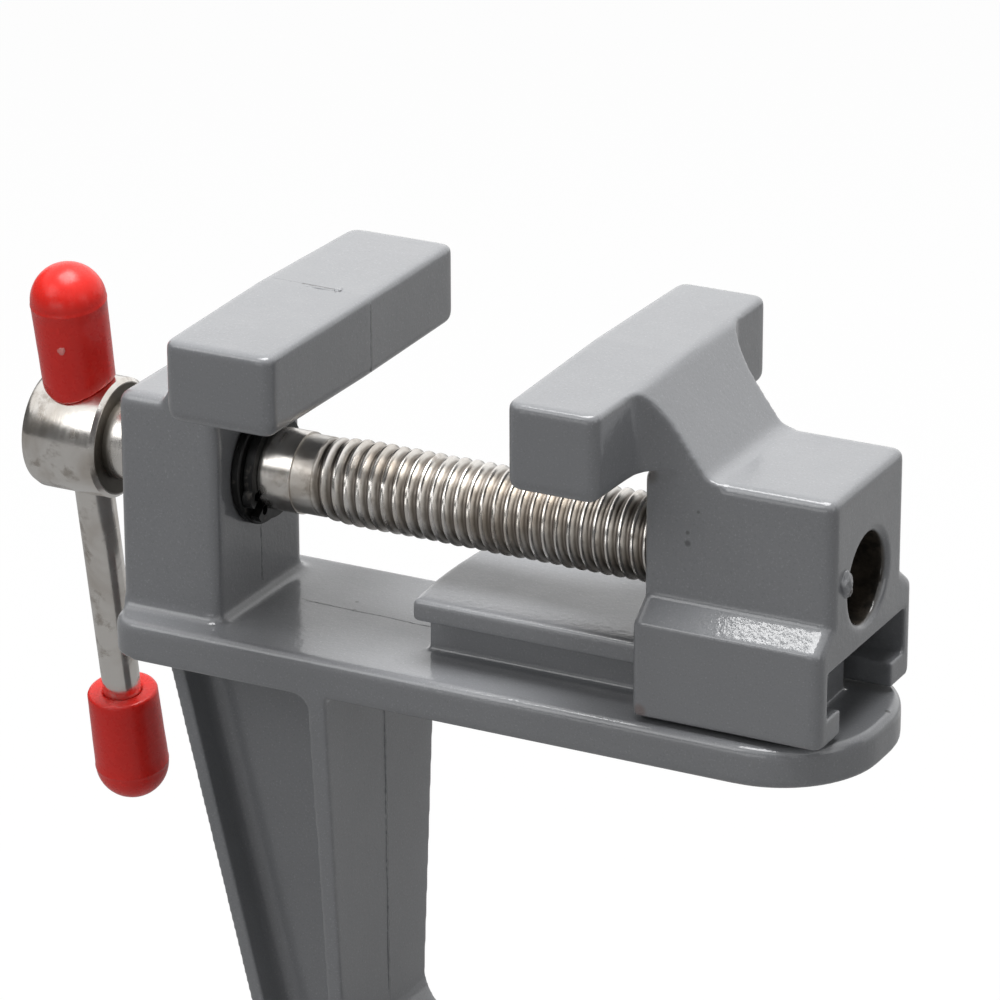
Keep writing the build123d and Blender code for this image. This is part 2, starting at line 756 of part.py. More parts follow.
# ---------------------------------------------------------------- thrust washer
with BuildPart() as thrust_washer:
    with BuildSketch(Plane.YZ.offset(washer_left_x)):
        with Locations((0, screw_axis_z)):
            Circle(washer_radius)
            Circle(washer_bore_radius, mode=Mode.SUBTRACT)
    extrude(amount=washer_thickness)
    outer_rims = thrust_washer.edges().filter_by(GeomType.CIRCLE).filter_by(
        lambda e: abs(e.radius - washer_radius) < pick
    )
    fillet(outer_rims, radius=washer_edge_radius)

thrust_washer.part.label = "thrust_washer"
export_step(thrust_washer.part, "parts/thrust_washer.step")

# ---------------------------------------------------------------- retaining ring
lug_ring_radius = (ring_radius + ring_groove_radius) / 2 + lug_ring_shift
lug_turn = 16.0

ring_plane = Plane(origin=(ring_left_x, 0, screw_axis_z), x_dir=(0, 1, 0), z_dir=(1, 0, 0))

with BuildPart() as retaining_ring:
    with BuildSketch(ring_plane):
        Circle(ring_radius)
        with PolarLocations(lug_ring_radius, 2, -90 - ring_lug_angle - lug_turn, 4 * lug_turn):
            Circle(ring_lug_radius)
        Circle(ring_groove_radius, mode=Mode.SUBTRACT)
        with Locations(Rotation(0, 0, -90 - ring_lug_angle)):
            with Locations((lug_ring_radius, 0)):
                Rectangle(3 * ring_lug_radius, ring_gap_width, mode=Mode.SUBTRACT)
        with PolarLocations(lug_ring_radius, 2, -90 - ring_lug_angle - lug_turn, 4 * lug_turn):
            Circle(ring_lug_hole_radius, mode=Mode.SUBTRACT)
    extrude(amount=ring_thickness)

retaining_ring.part.label = "retaining_ring"
export_step(retaining_ring.part, "parts/retaining_ring.step")

# ---------------------------------------------------------------- main T-bar and its caps
bar_centre = Location(((head_left_x + head_right_x) / 2, 0, screw_axis_z), (bar_tilt, 0, 0))
cap_at = bar_span / 2 - cap_length

main_bar_part = rod_shape().moved(bar_centre * Location((0, 0, -bar_mid_offset)))
main_bar_part.label = "main_tbar"
export_step(main_bar_part, "parts/main_tbar.step")

upper_cap_part = cap_shape().moved(bar_centre * Location((0, 0, cap_at - bar_mid_offset)))
upper_cap_part.label = "main_cap_upper"
export_step(upper_cap_part, "parts/main_cap_upper.step")

lower_cap_part = cap_shape().moved(
    bar_centre * Location((0, 0, -cap_at - bar_mid_offset), (180, 0, 0))
)
lower_cap_part.label = "main_cap_lower"
export_step(lower_cap_part, "parts/main_cap_lower.step")

# ---------------------------------------------------------------- clamp screw
clamp_head_bottom_z = clamp_head_top_z - clamp_head_length
clamp_bar_z = (clamp_head_top_z + clamp_head_bottom_z) / 2
collar_top_z = clamp_head_top_z + clamp_collar_length
clamp_thread_end_z = collar_top_z + clamp_collar_bevel
ball_low = ball_centre_z - (ball_radius**2 - tip_neck_radius**2) ** 0.5
clamp_rings = [(radius, along) for along, radius in thread_outline(clamp_thread_top_z, clamp_thread_end_z)]

with BuildPart() as clamp_screw:
    with BuildSketch(Plane.XZ):
        with BuildLine():
            ThreePointArc(
                (0, ball_centre_z + ball_radius),
                (ball_radius, ball_centre_z),
                (tip_neck_radius, ball_low),
            )
            Polyline(
                (tip_neck_radius, ball_low),
                (tip_neck_radius, clamp_thread_top_z + clamp_neck_rise),
                *clamp_rings[:-2],
                (shank_radius, collar_top_z),
                (shank_radius, clamp_head_top_z),
                (head_radius - head_inner_rim_chamfer, clamp_head_top_z),
                (head_radius, clamp_head_top_z - head_inner_rim_chamfer),
                (head_radius, clamp_head_bottom_z + head_rim_radius),
                (head_radius - head_rim_step, clamp_head_bottom_z + head_rim_step),
                (head_radius - head_rim_radius, clamp_head_bottom_z),
                (0, clamp_head_bottom_z),
                (0, ball_centre_z + ball_radius),
            )
        make_face()
    revolve(axis=Axis.Z)
    clamp_hole_plane = Plane(
        origin=(0, 0, clamp_bar_z),
        x_dir=(0, 0, 1),
        z_dir=(cos(radians(clamp_bar_angle)), sin(radians(clamp_bar_angle)), 0),
    )
    with BuildSketch(clamp_hole_plane):
        Circle(bar_hole_radius)
    extrude(amount=2 * head_radius, both=True, mode=Mode.SUBTRACT)

clamp_screw.part.label = "clamp_screw"
export_step(clamp_screw.part, "parts/clamp_screw.step")

# ---------------------------------------------------------------- clamp pad
socket_radius = ball_radius + socket_clearance
socket_low = ball_centre_z - (socket_radius**2 - socket_mouth_radius**2) ** 0.5

with BuildPart() as clamp_pad:
    with BuildSketch(Plane.XZ):
        with BuildLine():
            Polyline(
                (0, ball_centre_z + socket_radius),
                (0, pad_top_z - pad_recess_depth),
                (pad_recess_radius, pad_top_z - pad_recess_depth),
                (pad_recess_radius + pad_recess_depth, pad_top_z),
                (pad_radius - pad_rim_chamfer, pad_top_z),
                (pad_radius, pad_top_z - pad_rim_chamfer),
                (pad_radius, pad_top_z - pad_disc_thickness),
                (pad_hub_radius, pad_bottom_z + pad_hub_bevel_height),
                (pad_hub_radius - pad_hub_bevel, pad_bottom_z),
                (socket_mouth_radius, pad_bottom_z),
                (socket_mouth_radius, socket_low),
            )
            ThreePointArc(
                (socket_mouth_radius, socket_low),
                (socket_radius, ball_centre_z),
                (0, ball_centre_z + socket_radius),
            )
        make_face()
    revolve(axis=Axis.Z)

clamp_pad.part.label = "clamp_pad"
export_step(clamp_pad.part, "parts/clamp_pad.step")

# ---------------------------------------------------------------- clamp T-bar and its caps
turn_flat = Location((0, 0, 0), (0, 90, 0))
clamp_bar_centre = Location((clamp_axis_x, 0, clamp_bar_z), (0, 0, clamp_bar_angle)) * turn_flat

clamp_bar_part = rod_shape().moved(clamp_bar_centre)
clamp_bar_part.label = "clamp_tbar"
export_step(clamp_bar_part, "parts/clamp_tbar.step")

cap_a_part = cap_shape().moved(clamp_bar_centre * Location((0, 0, cap_at)))
cap_a_part.label = "clamp_cap_a"
export_step(cap_a_part, "parts/clamp_cap_a.step")

cap_b_part = cap_shape().moved(clamp_bar_centre * Location((0, 0, -cap_at), (180, 0, 0)))
cap_b_part.label = "clamp_cap_b"
export_step(cap_b_part, "parts/clamp_cap_b.step")
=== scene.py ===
import math

import bmesh
import bpy
from mathutils import Matrix, Vector, noise


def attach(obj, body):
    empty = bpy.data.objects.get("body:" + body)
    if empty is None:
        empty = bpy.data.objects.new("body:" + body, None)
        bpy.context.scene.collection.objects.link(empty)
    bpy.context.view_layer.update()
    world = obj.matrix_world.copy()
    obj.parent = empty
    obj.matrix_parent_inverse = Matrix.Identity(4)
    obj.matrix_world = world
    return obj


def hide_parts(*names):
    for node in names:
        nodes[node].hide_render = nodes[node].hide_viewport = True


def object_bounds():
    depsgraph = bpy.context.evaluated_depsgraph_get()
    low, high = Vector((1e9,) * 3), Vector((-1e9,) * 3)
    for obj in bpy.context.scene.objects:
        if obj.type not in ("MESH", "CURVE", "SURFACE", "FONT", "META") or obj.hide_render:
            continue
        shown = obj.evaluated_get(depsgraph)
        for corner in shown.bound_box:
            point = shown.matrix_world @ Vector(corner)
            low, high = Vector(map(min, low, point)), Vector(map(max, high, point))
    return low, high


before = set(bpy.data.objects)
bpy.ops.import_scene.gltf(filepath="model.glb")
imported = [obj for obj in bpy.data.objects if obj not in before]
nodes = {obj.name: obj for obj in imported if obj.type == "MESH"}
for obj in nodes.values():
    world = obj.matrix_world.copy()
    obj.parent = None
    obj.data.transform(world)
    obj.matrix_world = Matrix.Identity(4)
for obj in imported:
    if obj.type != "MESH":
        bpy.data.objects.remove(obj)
cad_low, cad_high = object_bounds()
MM = 0.001

# Places and radii on the object, in millimetres.
SCREW_Z = 16.9
HEAD_X = -57.0
HEAD_RADIUS = 5.7
HEAD_FACE_X = -53.0
THREAD_START_X = -31.2
THREAD_END_X = 17.5
COLLAR_RADIUS = 3.7
SHANK_RADIUS = 3.85
CLAMP_NECK_Z = -42.11
CLAMP_COLLAR_TOP = -91.5
CLAMP_HEAD_TOP = -93.5
CLAMP_BAR_Z = -97.5
LOWER_CAP_REACH = 28.6
CLAMP_CAP_REACH = 17.175
BORE_RADIUS = 4.08


# ------------------------------------------------------------------ node helpers
def new_material(name):
    mat = bpy.data.materials.new(name)
    mat.use_nodes = True
    tree = mat.node_tree
    tree.nodes.clear()
    out = tree.nodes.new("ShaderNodeOutputMaterial")
    bsdf = tree.nodes.new("ShaderNodeBsdfPrincipled")
    tree.links.new(bsdf.outputs["BSDF"], out.inputs["Surface"])
    return mat, tree, bsdf


def link(tree, a, b):
    tree.links.new(a, b)


def coords(tree, scale=(1, 1, 1)):
    tc = tree.nodes.new("ShaderNodeTexCoord")
    mp = tree.nodes.new("ShaderNodeMapping")
    mp.inputs["Scale"].default_value = scale
    link(tree, tc.outputs["Object"], mp.inputs["Vector"])
    return mp.outputs["Vector"]


def noise_tex(tree, vector, scale, detail=2.0, rough=0.5, distortion=0.0):
    n = tree.nodes.new("ShaderNodeTexNoise")
    n.inputs["Scale"].default_value = scale
    n.inputs["Detail"].default_value = detail
    n.inputs["Roughness"].default_value = rough
    n.inputs["Distortion"].default_value = distortion
    link(tree, vector, n.inputs["Vector"])
    return n.outputs["Fac"]


def remap(tree, value, lo, hi, to_lo, to_hi, smooth=False):
    n = tree.nodes.new("ShaderNodeMapRange")
    if smooth:
        n.interpolation_type = "SMOOTHSTEP"
    n.inputs["From Min"].default_value = lo
    n.inputs["From Max"].default_value = hi
    n.inputs["To Min"].default_value = to_lo
    n.inputs["To Max"].default_value = to_hi
    link(tree, value, n.inputs["Value"])
    return n.outputs["Result"]


def math_node(tree, op, a, b=None):
    n = tree.nodes.new("ShaderNodeMath")
    n.operation = op
    for i, v in enumerate((a, b)):
        if v is None:
            continue
        if isinstance(v, (int, float)):
            n.inputs[i].default_value = v
        else:
            link(tree, v, n.inputs[i])
    return n.outputs[0]


def mix_color(tree, fac, a, b):
    n = tree.nodes.new("ShaderNodeMix")
    n.data_type = "RGBA"
    if isinstance(fac, (int, float)):
        n.inputs["Factor"].default_value = fac
    else:
        link(tree, fac, n.inputs["Factor"])
    for key, v in (("A", a), ("B", b)):
        sock = [s for s in n.inputs if s.name == key and s.type == "RGBA"][0]
        if isinstance(v, tuple):
            sock.default_value = (*v, 1) if len(v) == 3 else v
        else:
            link(tree, v, sock)
    return [s for s in n.outputs if s.type == "RGBA"][0]


def vector_node(tree, op, a, b=None):
    n = tree.nodes.new("ShaderNodeVectorMath")
    n.operation = op
    for i, v in enumerate((a, b)):
        if v is None:
            continue
        if isinstance(v, tuple):
            n.inputs[i].default_value = v
        else:
            link(tree, v, n.inputs[i])
    return n.outputs["Value" if op in ("LENGTH", "DOT_PRODUCT") else "Vector"]


def object_point(tree):
    return tree.nodes.new("ShaderNodeTexCoord").outputs["Object"]


SPOT_CORE = 0.35
LINE_CORE = 0.2
LINE_DRIFT = 0.45 * MM
LINE_DRIFT_SCALE = 420


def near_point(tree, centre, radius):
    """1 at a point of the piece, falling to 0 at the radius. Sizes in millimetres."""
    away = vector_node(tree, "SUBTRACT", object_point(tree), tuple(c * MM for c in centre))
    far = vector_node(tree, "LENGTH", away)
    return remap(tree, far, radius * SPOT_CORE * MM, radius * MM, 1.0, 0.0, True)


def near_line(tree, start, end, radius):
    """1 on a slightly wandering line between two points of the piece, 0 at the radius from it."""
    a, b = Vector(start) * MM, Vector(end) * MM
    length = (b - a).length
    way = tuple((b - a).normalized())
    point = object_point(tree)
    drift = tree.nodes.new("ShaderNodeTexNoise")
    drift.inputs["Scale"].default_value = LINE_DRIFT_SCALE
    drift.inputs["Detail"].default_value = 2
    link(tree, point, drift.inputs["Vector"])
    shift = vector_node(tree, "SUBTRACT", drift.outputs["Color"], (0.5, 0.5, 0.5))
    shift = vector_node(tree, "MULTIPLY", shift, (LINE_DRIFT, LINE_DRIFT, LINE_DRIFT))
    away = vector_node(tree, "SUBTRACT", vector_node(tree, "ADD", point, shift), tuple(a))
    run = vector_node(tree, "DOT_PRODUCT", away, way)
    run = math_node(tree, "MINIMUM", math_node(tree, "MAXIMUM", run, 0.0), length)
    reach = tree.nodes.new("ShaderNodeVectorMath")
    reach.operation = "SCALE"
    reach.inputs[0].default_value = way
    link(tree, run, reach.inputs["Scale"])
    far = vector_node(tree, "LENGTH", vector_node(tree, "SUBTRACT", away, reach.outputs[0]))
    return remap(tree, far, LINE_CORE * radius * MM, radius * MM, 1.0, 0.0, True)


def axis_distance(tree, along, centre):
    """Distance from the axis of a turned piece, in metres."""
    away = vector_node(tree, "SUBTRACT", object_point(tree), centre)
    flat = vector_node(tree, "MULTIPLY", away, tuple(0 if a else 1 for a in along))
    return vector_node(tree, "LENGTH", flat)


def bump(tree, height, strength, distance, normal=None):
    n = tree.nodes.new("ShaderNodeBump")
    n.inputs["Strength"].default_value = strength
    n.inputs["Distance"].default_value = distance
    link(tree, height, n.inputs["Height"])
    if normal is not None:
        link(tree, normal, n.inputs["Normal"])
    return n.outputs["Normal"]


# ------------------------------------------------------------------ materials
PAINT_TONES = ((0.240, 0.246, 0.258), (0.266, 0.272, 0.284))
SPARKLE = (0.46, 0.47, 0.49)
GRAIN_SHADOW = (0.15, 0.155, 0.16)
# Near black for the dark lines of painted shade along seams and grooves.
CREASE_SHADE = (0.03, 0.03, 0.03)
# Unpainted metal in the threaded hole, darkened almost to black as painted shade.
BORE_SHADE_TONES = ((0.020, 0.018, 0.015), (0.075, 0.062, 0.048))
NICKEL_TINT = (0.73, 0.705, 0.67)
NICKEL_STAIN = (0.44, 0.39, 0.335)
NICKEL_SPECK = (0.27, 0.23, 0.19)
THREAD_ROOT_SHADE = (0.13, 0.108, 0.088)
HEAD_FACE_SHADE = (0.085, 0.074, 0.058)
BLACK_TONES = ((0.012, 0.012, 0.012), (0.055, 0.05, 0.045))
RED_TONES = ((0.86, 0.020, 0.014), (0.93, 0.032, 0.022))
GATE_TONES = ((0.90, 0.22, 0.20), (0.95, 0.36, 0.33))
# Where the painted shade and dullness on a head's face fade in and out, in millimetres beyond the face.
FACE_BAND = (-0.14, -0.03, 0.3, 1.0)


def casting_paint(name, marks=(), shade_lines=(), bore=None):
    """Grey gloss paint with fine sparkle over die-cast skin.

    marks are spots (centre, radius, colour, strength); the line list holds dark lines of painted
    shade along seams and grooves (start, end, radius, strength); all in millimetres. bore is the
    radius of the unpainted threaded hole, whose inside is darkened as painted shade.
    """
    mat, tree, b = new_material(name)
    v = coords(tree)
    broad = noise_tex(tree, v, 45, 3, 0.55)
    grain = noise_tex(tree, v, 5200, 2, 0.6)
    tone = remap(tree, broad, 0.3, 0.7, 0.0, 1.0)
    base = mix_color(tree, tone, *PAINT_TONES)
    speck = remap(tree, grain, 0.58, 0.74, 0.0, 0.30, True)
    base = mix_color(tree, speck, base, SPARKLE)
    dark = remap(tree, grain, 0.42, 0.28, 0.0, 0.30, True)
    base = mix_color(tree, dark, base, GRAIN_SHADOW)
    for centre, radius, colour, strength in marks:
        spot = near_point(tree, centre, radius)
        base = mix_color(tree, math_node(tree, "MULTIPLY", spot, strength), base, colour)
    b.inputs["Metallic"].default_value = 0.0
    rough = remap(tree, noise_tex(tree, v, 260, 2, 0.5), 0.3, 0.7, 0.38, 0.48)
    b.inputs["Specular IOR Level"].default_value = 0.25
    b.inputs["Coat Weight"].default_value = 0.95
    b.inputs["Coat Roughness"].default_value = 0.065
    peel = noise_tex(tree, v, 1900, 3, 0.55)
    n1 = bump(tree, peel, 0.24, 0.00010)
    n2 = bump(tree, grain, 0.10, 0.00005, n1)
    # Dark lines of painted shade along the seams and in the gate scar's groove.
    for start, end, radius, strength in shade_lines:
        crease_shade = near_line(tree, start, end, radius)
        base = mix_color(tree, math_node(tree, "MULTIPLY", crease_shade, strength), base, CREASE_SHADE)
    # Inside the threaded hole the unpainted metal's brown smears are darkened almost to black: painted
    # shade.
    if bore is not None:
        far = axis_distance(tree, (1, 0, 0), (0, 0, SCREW_Z * MM))
        inside = remap(tree, far, (bore + 0.04) * MM, (bore + 0.22) * MM, 1.0, 0.0, True)
        smear = noise_tex(tree, v, 900, 3, 0.6)
        bare_and_shaded = mix_color(tree, remap(tree, smear, 0.35, 0.65, 0, 1), *BORE_SHADE_TONES)
        base = mix_color(tree, inside, base, bare_and_shaded)
    link(tree, rough, b.inputs["Roughness"])
    link(tree, base, b.inputs["Base Color"])
    link(tree, n2, b.inputs["Normal"])
    link(tree, n1, b.inputs["Coat Normal"])
    return mat


def nickel(name, along, centre=None, head_face=None):
    """Bright nickel on turned steel; along is the axis of the piece.

    A screw has its axis through centre, in metres, roots of its thread darkened as painted shade,
    and a dull ring on its head's face, also darkened as painted shade. head_face is that face's
    place along the axis, in millimetres.
    """
    mat, tree, b = new_material(name)
    v = coords(tree)
    fine = tuple(2600 if a else 140 for a in along)
    turned = noise_tex(tree, coords(tree, fine), 1.0, 3, 0.6)
    mottle = noise_tex(tree, v, 420, 4, 0.6)
    stain = noise_tex(tree, v, 150, 3, 0.6, 0.4)
    base = mix_color(tree, remap(tree, stain, 0.42, 0.70, 0.0, 0.65, True), NICKEL_TINT, NICKEL_STAIN)
    base = mix_color(tree, remap(tree, mottle, 0.54, 0.70, 0.0, 0.6, True), base, NICKEL_SPECK)
    rough = math_node(
        tree, "ADD", remap(tree, mottle, 0.3, 0.7, 0.14, 0.27), remap(tree, turned, 0.3, 0.7, -0.03, 0.05)
    )
    if centre is not None:
        far = axis_distance(tree, along, centre)
        ragged = math_node(tree, "ADD", far, remap(tree, mottle, 0.3, 0.7, -0.00006, 0.00006))
        # The thread's roots are darkened: painted shade.
        root = remap(tree, ragged, 3.72 * MM, 3.44 * MM, 0.0, 0.85, True)
        base = mix_color(tree, root, base, THREAD_ROOT_SHADE)
        worked = remap(tree, ragged, 3.86 * MM, 3.76 * MM, 0.0, 1.0, True)
        rough = math_node(tree, "ADD", rough, math_node(tree, "MULTIPLY", worked, 0.16))
        split = tree.nodes.new("ShaderNodeSeparateXYZ")
        link(tree, object_point(tree), split.inputs[0])
        place = split.outputs[along.index(1)]
        step = [(head_face + beyond) * MM for beyond in FACE_BAND]
        shaded_dull_band = math_node(
            tree, "MULTIPLY",
            remap(tree, place, step[0], step[1], 0.0, 1.0, True),
            remap(tree, place, step[2], step[3], 1.0, 0.0, True),
        )
        shaded_dull_band = math_node(tree, "MULTIPLY", shaded_dull_band, remap(tree, far, 5.35 * MM, 5.15 * MM, 0.0, 0.9, True))
        # The head's face is darkened as painted shade and made duller.
        base = mix_color(tree, shaded_dull_band, base, HEAD_FACE_SHADE)
        rough = math_node(tree, "ADD", rough, math_node(tree, "MULTIPLY", shaded_dull_band, 0.25))
    link(tree, base, b.inputs["Base Color"])
    b.inputs["Metallic"].default_value = 1.0
    link(tree, rough, b.inputs["Roughness"])
    n1 = bump(tree, turned, 0.25, 0.00003)
    n2 = bump(tree, mottle, 0.25, 0.00005, n1)
    link(tree, n2, b.inputs["Normal"])
    return mat


def black_steel():
    mat, tree, b = new_material("black_steel")
    v = coords(tree)
    g = noise_tex(tree, v, 900, 3, 0.6)
    base = mix_color(tree, remap(tree, g, 0.58, 0.7, 0.0, 1.0, True), *BLACK_TONES)
    link(tree, base, b.inputs["Base Color"])
    b.inputs["Metallic"].default_value = 0.6
    link(tree, remap(tree, g, 0.3, 0.7, 0.28, 0.5), b.inputs["Roughness"])
    link(tree, bump(tree, g, 0.2, 0.00005), b.inputs["Normal"])
    return mat


def red_plastic(name, tones):
    mat, tree, b = new_material(name)
    v = coords(tree)
    broad = noise_tex(tree, v, 120, 2, 0.5)
    fine = noise_tex(tree, v, 1500, 2, 0.5)
    base = mix_color(tree, remap(tree, broad, 0.3, 0.7, 0, 1), *tones)
    link(tree, base, b.inputs["Base Color"])
    link(tree, remap(tree, fine, 0.3, 0.7, 0.24, 0.34), b.inputs["Roughness"])
    b.inputs["Specular IOR Level"].default_value = 0.38
    b.inputs["Subsurface Weight"].default_value = 0.12
    b.inputs["Subsurface Radius"].default_value = (0.002, 0.0004, 0.0003)
    b.inputs["Subsurface Scale"].default_value = 0.5
    link(tree, bump(tree, fine, 0.08, 0.00005), b.inputs["Normal"])
    return mat


# Dark spots in small pits are painted shade; the rust and brown smears are stains.
PIT_SHADE = (0.020, 0.019, 0.018)
RUST = (0.16, 0.055, 0.030)
BROWN = (0.070, 0.045, 0.030)
frame_marks = [
    ((-29.9, 2.6, 3.8), 0.26, PIT_SHADE, 0.55),
    ((-29.2, 0.75, 3.8), 0.32, PIT_SHADE, 0.7),
    ((23.7, 1.9, 3.7), 0.34, PIT_SHADE, 0.9),
]
# Dark lines of painted shade beside the seams and in the gate scar's groove.
frame_shade_lines = [
    ((-34.8, 1.0, 3.8), (-22.9, 0.55, 3.8), 0.13, 0.55),
    ((-37.6, 1.25, 34.75), (-33.8, 1.05, 34.78), 0.11, 0.35),
    ((-34.2, 1.08, 34.78), (-30.5, 0.82, 34.78), 0.24, 0.95),
    ((-27.0, 0.7, 34.0), (-27.0, 0.7, 28.2), 0.16, 0.35),
    ((-38.5, 0.2, 5.3), (-38.5, 0.2, 11.0), 0.14, 0.6),
    ((-26.0, 0.62, -5.0), (-26.0, 0.95, -36.0), 0.15, 0.55),
]
jaw_marks = [
    ((8.6, -7.8, 20.5), 0.40, PIT_SHADE, 0.55),
    ((8.6, -7.8, 21.5), 0.26, PIT_SHADE, 0.5),
    ((9.6, -7.8, 23.6), 0.22, PIT_SHADE, 0.4),
    ((2.0, -7.8, 9.2), 0.30, RUST, 0.6),
    ((4.6, -7.9, 26.4), 1.50, BROWN, 0.55),
    ((5.2, -10.2, 4.9), 0.9, RUST, 0.4),
]
PAINT = casting_paint("casting_paint", frame_marks, frame_shade_lines)
PAINT_JAW = casting_paint("casting_paint_jaw", jaw_marks, (), BORE_RADIUS)
PAINT_PLAIN = casting_paint("casting_paint_plain")
PAINT_RUSTY = casting_paint("casting_paint_rusty", [((22.7, -4.98, 17.9), 0.8, BROWN, 0.75)])
SCREW_METAL = nickel("nickel_screw", (1, 0, 0), (0, 0, SCREW_Z * MM), HEAD_FACE_X)
CLAMP_METAL = nickel("nickel_clamp_screw", (0, 0, 1), (0, 0, 0), CLAMP_HEAD_TOP)
NICKEL_X = nickel("nickel_level", (1, 0, 0))
NICKEL_Z = nickel("nickel_upright", (0, 0, 1))
BLACK = black_steel()
RED = red_plastic("red_plastic", RED_TONES)
RED_GATE = red_plastic("red_gate", GATE_TONES)

finish_of = {
    "vise_frame": PAINT, "moving_jaw": PAINT_JAW,
    "main_screw": SCREW_METAL, "thrust_washer": BLACK, "retaining_ring": BLACK,
    "main_tbar": NICKEL_Z, "main_cap_upper": RED, "main_cap_lower": RED,
    "clamp_screw": CLAMP_METAL, "clamp_pad": NICKEL_Z, "clamp_tbar": NICKEL_X,
    "clamp_cap_a": RED, "clamp_cap_b": RED,
}
for node, mat in finish_of.items():
    mesh = nodes[node].data
    mesh.materials.clear()
    mesh.materials.append(mat)


# ------------------------------------------------------------------ soft cast edges
def cast_skin(node, voxel, passes, keep):
    """Rounds every edge and corner as a die casting under paint has them."""
    o = nodes[node]
    m = o.modifiers.new("skin", "REMESH")
    m.mode = "VOXEL"
    m.voxel_size = voxel
    m.use_smooth_shade = True
    s = o.modifiers.new("soften", "SMOOTH")
    s.factor = 0.5
    s.iterations = passes
    d = o.modifiers.new("thin", "DECIMATE")
    d.ratio = keep


cast_skin("vise_frame", 0.00021, 12, 0.30)
cast_skin("moving_jaw", 0.00020, 10, 0.35)

# ------------------------------------------------------------------ screws with true threads
PITCH = 1.25
THREAD_RADIUS = 4.0
ROOT_RADIUS = 3.42
CREST_RUN_OUT = 2.5 * PITCH
ROOT_RUN_OUT = 0.25 * PITCH
END_RADIUS = 3.05
LEAST_RADIUS = 0.5
BLANK_INSET = 0.05
START_OVERLAP = 0.1
WEAR = 0.06
# Between the crest's middle at 0 and the root's at 1: where a flank ends, and its span.
FLANK_FOOT = 0.84
FLANK_SPAN = 0.72
ROWS_PER_TURN = 14
AROUND = 48


def add_object(name, mesh, mat):
    mesh.materials.append(mat)
    o = bpy.data.objects.new(name, mesh)
    bpy.context.scene.collection.objects.link(o)
    return o


def add_piece(name, mesh, mat, body):
    o = add_object(name, mesh, mat)
    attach(o, body)
    return o


def place_mesh(name, bm, mat, body, node):
    """Adds a piece that takes the place of a CAD node."""
    mesh = bpy.data.meshes.new(name)
    bmesh.ops.recalc_face_normals(bm, faces=bm.faces[:])
    bm.to_mesh(mesh)
    bm.free()
    o = add_piece(name, mesh, mat, body)
    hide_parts(node)


def thread_radius(phase, place, start, end, blank):
    """Radius of a rolled thread, with its run-out from the blank and its chamfered end."""
    away = abs(phase - 0.5) * 2
    rise = min(1.0, max(0.0, (FLANK_FOOT - away) / FLANK_SPAN))
    rise = 0.5 * rise + 0.5 * rise * rise * (3 - 2 * rise)
    grown = min(1.0, max(0.0, (place - start) / CREST_RUN_OUT))
    cut = min(1.0, max(0.0, (place - start) / ROOT_RUN_OUT))
    if place < start:
        return blank - BLANK_INSET
    crest = blank + (THREAD_RADIUS - blank) * grown
    root = blank + (ROOT_RADIUS - blank) * cut
    worn = WEAR * noise.noise(Vector((place * 1.3, phase * 0.7, start)))
    return min(root + (crest + worn - root) * rise, END_RADIUS + (end - place))


def cut_and_close(bm, geom, centre, out):
    """Cuts away what lies past a plane and closes the cut. Returns the new faces."""
    cut = bmesh.ops.bisect_plane(bm, geom=geom, plane_co=centre, plane_no=out, clear_outer=True)
    rim = [e for e in cut["geom_cut"] if isinstance(e, bmesh.types.BMEdge)]
    return bmesh.ops.contextual_create(bm, geom=rim)["faces"]


def add_thread(bm, start, end, blank, to_place):
    """Right-hand helical thread whose rows follow the helix, closed by two flat ends."""
    first = start - 2 * PITCH
    rows = int((end - first) / PITCH + 2) * ROWS_PER_TURN
    grid = []
    for i in range(rows + 1):
        ring = []
        for j in range(AROUND):
            place = first + (i / ROWS_PER_TURN + j / AROUND) * PITCH
            radius = thread_radius(i / ROWS_PER_TURN % 1, place, start, end, blank)
            radius = max(radius, LEAST_RADIUS)
            ring.append(bm.verts.new(to_place(place, radius, 2 * math.pi * j / AROUND)))
        grid.append(ring)
    faces = []
    for i in range(rows):
        for j in range(AROUND - 1):
            low, high = grid[i], grid[i + 1]
            faces.append(bm.faces.new((low[j], high[j], high[j + 1], low[j + 1])))
        wrap = i + ROWS_PER_TURN
        if wrap + 1 <= rows:
            faces.append(bm.faces.new((grid[i][-1], grid[i + 1][-1], grid[wrap + 1][0], grid[wrap][0])))
    for place, way in ((start - START_OVERLAP, -1), (end, 1)):
        centre = to_place(place, 0, 0)
        out = (to_place(place + way, 0, 0) - centre).normalized()
        part = [g for f in faces if f.is_valid for g in (f, *f.edges, *f.verts)]
        cap = cut_and_close(bm, list(set(part)), centre, out)
        faces = [f for f in bm.faces if f.is_valid and f not in cap]
    loose = [v for v in bm.verts if not v.link_faces]
    bmesh.ops.delete(bm, geom=loose, context="VERTS")


def add_part_of(bm, node, place, way, to_place):
    """The node's own mesh on one side of a plane across the screw, closed there."""
    part = bmesh.new()
    part.from_mesh(nodes[node].data)
    bmesh.ops.remove_doubles(part, verts=part.verts[:], dist=0.001 * MM)
    centre = to_place(place, 0, 0)
    out = (to_place(place + way, 0, 0) - centre).normalized()
    cut_and_close(part, part.verts[:] + part.edges[:] + part.faces[:], centre, out)
    spare = bpy.data.meshes.new("spare")
    part.to_mesh(spare)
    part.free()
    bm.from_mesh(spare)
    bpy.data.meshes.remove(spare)


def finish_edges(bm, angle=32):
    for f in bm.faces:
        f.smooth = True
    for e in bm.edges:
        e.smooth = e.calc_face_angle(0.0) < math.radians(angle)


def main_place(place, radius, turn):
    return Vector((place, radius * math.cos(turn), SCREW_Z + radius * math.sin(turn))) * MM


def clamp_place(place, radius, turn):
    return Vector((radius * math.cos(turn), radius * math.sin(turn), place)) * MM


